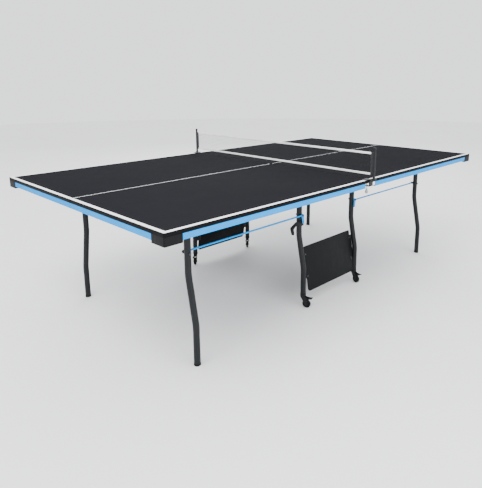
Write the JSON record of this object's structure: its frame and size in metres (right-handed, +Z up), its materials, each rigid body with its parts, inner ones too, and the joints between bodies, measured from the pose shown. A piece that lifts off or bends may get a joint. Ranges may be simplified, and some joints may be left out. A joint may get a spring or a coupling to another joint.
{
  "type": "folding table-tennis table",
  "caption": "Two-part table-tennis table that folds upright on a wheeled carriage, with swinging outer legs, link rods, braked casters and a clamp-on net.",
  "frame": {"origin": "on the floor under the middle of the net, playing position", "axes": "+Z up, +X along the length from half A to half B, +Y across the width away from the near long side"},
  "size_m": [2.74, 1.582, 0.938],
  "materials": {
    "board": "matte painted fibreboard",
    "blue_paint": "satin powder coat",
    "black_paint": "satin powder coat",
    "black_plastic": "matte moulded",
    "zinc": "zinc plated",
    "post_paint": "satin black powder coat",
    "rubber": "matte",
    "webbing": "woven",
    "tape": "woven"
  },
  "bodies": {
    "carriage": {"wheel_frame_a": "black_paint", "wheel_frame_b": "black_paint", "side_panel_near": "black_paint", "side_panel_far": "black_paint", "carriage_bolts": "zinc", "lock_plates": "black_paint"},
    "half_a": {"a_board_near": "board", "a_board_far": "board", "a_long_rails": "blue_paint", "a_end_rails": "blue_paint", "a_corner_caps": "black_plastic", "a_pivot_saddles": "black_paint", "a_leg_saddles": "black_paint", "a_seam_plates": "zinc", "a_strap": "webbing", "a_strap_hooks": "zinc", "net_clamp_near": "black_paint", "net_clamp_far": "black_paint"},
    "half_b": {"b_board_near": "board", "b_board_far": "board", "b_long_rails": "blue_paint", "b_end_rails": "blue_paint", "b_corner_caps": "black_plastic", "b_pivot_saddles": "black_paint", "b_leg_saddles": "black_paint", "b_seam_plates": "zinc", "b_strap_hooks": "zinc"},
    "outer_leg_a": {"outer_frame_a": "black_paint", "outer_feet_a": "rubber", "outer_pins_a": "zinc"},
    "outer_leg_b": {"outer_frame_b": "black_paint", "outer_feet_b": "rubber", "outer_pins_b": "zinc"},
    "rod_a_near": {"link_a_near": "blue_paint"},
    "rod_a_far": {"link_a_far": "blue_paint"},
    "rod_b_near": {"link_b_near": "blue_paint"},
    "rod_b_far": {"link_b_far": "blue_paint"},
    "lever_a": {"latch_a": "black_plastic"},
    "lever_b": {"latch_b": "black_plastic"},
    "screw_near": {"clamp_screw_near": "zinc"},
    "screw_far": {"clamp_screw_far": "zinc"},
    "net": {"net_posts": "post_paint", "net_mesh": "webbing", "net_top_tape": "tape", "net_bottom_tape": "tape", "net_sleeves": "webbing"},
    "fork_an": {"caster_an_fork": "black_paint"},
    "roller_an": {"caster_an_wheel": "rubber"},
    "pedal_an": {"caster_an_brake": "black_plastic"},
    "fork_af": {"caster_af_fork": "black_paint"},
    "roller_af": {"caster_af_wheel": "rubber"},
    "pedal_af": {"caster_af_brake": "black_plastic"},
    "fork_bn": {"caster_bn_fork": "black_paint"},
    "roller_bn": {"caster_bn_wheel": "rubber"},
    "pedal_bn": {"caster_bn_brake": "black_plastic"},
    "fork_bf": {"caster_bf_fork": "black_paint"},
    "roller_bf": {"caster_bf_wheel": "rubber"},
    "pedal_bf": {"caster_bf_brake": "black_plastic"}
  },
  "joints": [
    {"name": "fold_a", "type": "hinge", "parent": "carriage", "child": "half_a", "pos_m": [-0.26, 0, 0.72], "axis": [0, 1, 0], "range_deg": [0, 90]},
    {"name": "fold_b", "type": "hinge", "parent": "carriage", "child": "half_b", "pos_m": [0.26, 0, 0.72], "axis": [0, -1, 0], "range_deg": [0, 90]},
    {"name": "leg_a", "type": "hinge", "parent": "half_a", "child": "outer_leg_a", "pos_m": [-1.066, 0, 0.706], "axis": [0, -1, 0], "range_deg": [0, 90]},
    {"name": "leg_b", "type": "hinge", "parent": "half_b", "child": "outer_leg_b", "pos_m": [1.066, 0, 0.706], "axis": [0, 1, 0], "range_deg": [0, 90]},
    {"name": "rod_a_near_turn", "type": "hinge", "parent": "carriage", "child": "rod_a_near", "pos_m": [-0.26, -0.49, 0.552], "axis": [0, 1, 0], "range_deg": [0, 90]},
    {"name": "rod_a_far_turn", "type": "hinge", "parent": "carriage", "child": "rod_a_far", "pos_m": [-0.26, 0.49, 0.552], "axis": [0, 1, 0], "range_deg": [0, 90]},
    {"name": "rod_b_near_turn", "type": "hinge", "parent": "carriage", "child": "rod_b_near", "pos_m": [0.26, -0.49, 0.552], "axis": [0, -1, 0], "range_deg": [0, 90]},
    {"name": "rod_b_far_turn", "type": "hinge", "parent": "carriage", "child": "rod_b_far", "pos_m": [0.26, 0.49, 0.552], "axis": [0, -1, 0], "range_deg": [0, 90]},
    {"name": "lever_a_lift", "type": "hinge", "parent": "carriage", "child": "lever_a", "pos_m": [-0.25, -0.4842, 0.512], "axis": [0, 1, 0], "range_deg": [0, 16]},
    {"name": "lever_b_lift", "type": "hinge", "parent": "carriage", "child": "lever_b", "pos_m": [0.25, 0.4842, 0.512], "axis": [0, -1, 0], "range_deg": [0, 16]},
    {"name": "clamp_near_turn", "type": "hinge", "parent": "half_a", "child": "screw_near", "pos_m": [-0.0122, -0.7455, 0.724], "axis": [0, 0, 1], "continuous": true},
    {"name": "clamp_far_turn", "type": "hinge", "parent": "half_a", "child": "screw_far", "pos_m": [-0.0122, 0.7455, 0.724], "axis": [0, 0, 1], "continuous": true},
    {"name": "net_lift_off", "type": "slide", "parent": "carriage", "child": "net", "axis": [0, 0, 1], "range_m": [0, 0.4]},
    {"name": "swivel_an", "type": "hinge", "parent": "carriage", "child": "fork_an", "pos_m": [-0.26, -0.504, 0.09], "axis": [0, 0, 1], "continuous": true},
    {"name": "roll_an", "type": "hinge", "parent": "fork_an", "child": "roller_an", "pos_m": [-0.25284, -0.5248, 0.025], "axis": [0.9455, 0.3256, 0], "continuous": true},
    {"name": "pedal_an_press", "type": "hinge", "parent": "fork_an", "child": "pedal_an", "pos_m": [-0.25088, -0.53048, 0.056], "axis": [0.9455, 0.3256, 0], "range_deg": [0, 10]},
    {"name": "swivel_af", "type": "hinge", "parent": "carriage", "child": "fork_af", "pos_m": [-0.26, 0.504, 0.09], "axis": [0, 0, 1], "continuous": true},
    {"name": "roll_af", "type": "hinge", "parent": "fork_af", "child": "roller_af", "pos_m": [-0.27582, 0.48872, 0.025], "axis": [0.6947, -0.7193, 0], "continuous": true},
    {"name": "pedal_af_press", "type": "hinge", "parent": "fork_af", "child": "pedal_af", "pos_m": [-0.28014, 0.48455, 0.056], "axis": [0.6947, -0.7193, 0], "range_deg": [0, 10]},
    {"name": "swivel_bn", "type": "hinge", "parent": "carriage", "child": "fork_bn", "pos_m": [0.26, -0.504, 0.09], "axis": [0, 0, 1], "continuous": true},
    {"name": "roll_bn", "type": "hinge", "parent": "fork_bn", "child": "roller_bn", "pos_m": [0.25694, -0.52579, 0.025], "axis": [0.9903, -0.1392, 0], "continuous": true},
    {"name": "pedal_bn_press", "type": "hinge", "parent": "fork_bn", "child": "pedal_bn", "pos_m": [0.2561, -0.53173, 0.056], "axis": [0.9903, -0.1392, 0], "range_deg": [0, 10]},
    {"name": "swivel_bf", "type": "hinge", "parent": "carriage", "child": "fork_bf", "pos_m": [0.26, 0.504, 0.09], "axis": [0, 0, 1], "continuous": true},
    {"name": "roll_bf", "type": "hinge", "parent": "fork_bf", "child": "roller_bf", "pos_m": [0.24418, 0.48872, 0.025], "axis": [0.6947, -0.7193, 0], "continuous": true},
    {"name": "pedal_bf_press", "type": "hinge", "parent": "fork_bf", "child": "pedal_bf", "pos_m": [0.23986, 0.48455, 0.056], "axis": [0.6947, -0.7193, 0], "range_deg": [0, 10]}
  ],
  "couplings": [
    {"joint": "leg_a", "follows": "fold_a", "ratio": 1},
    {"joint": "leg_b", "follows": "fold_b", "ratio": 1},
    {"joint": "rod_a_near_turn", "follows": "fold_a", "ratio": 1},
    {"joint": "rod_a_far_turn", "follows": "fold_a", "ratio": 1},
    {"joint": "rod_b_near_turn", "follows": "fold_b", "ratio": 1},
    {"joint": "rod_b_far_turn", "follows": "fold_b", "ratio": 1}
  ]
}
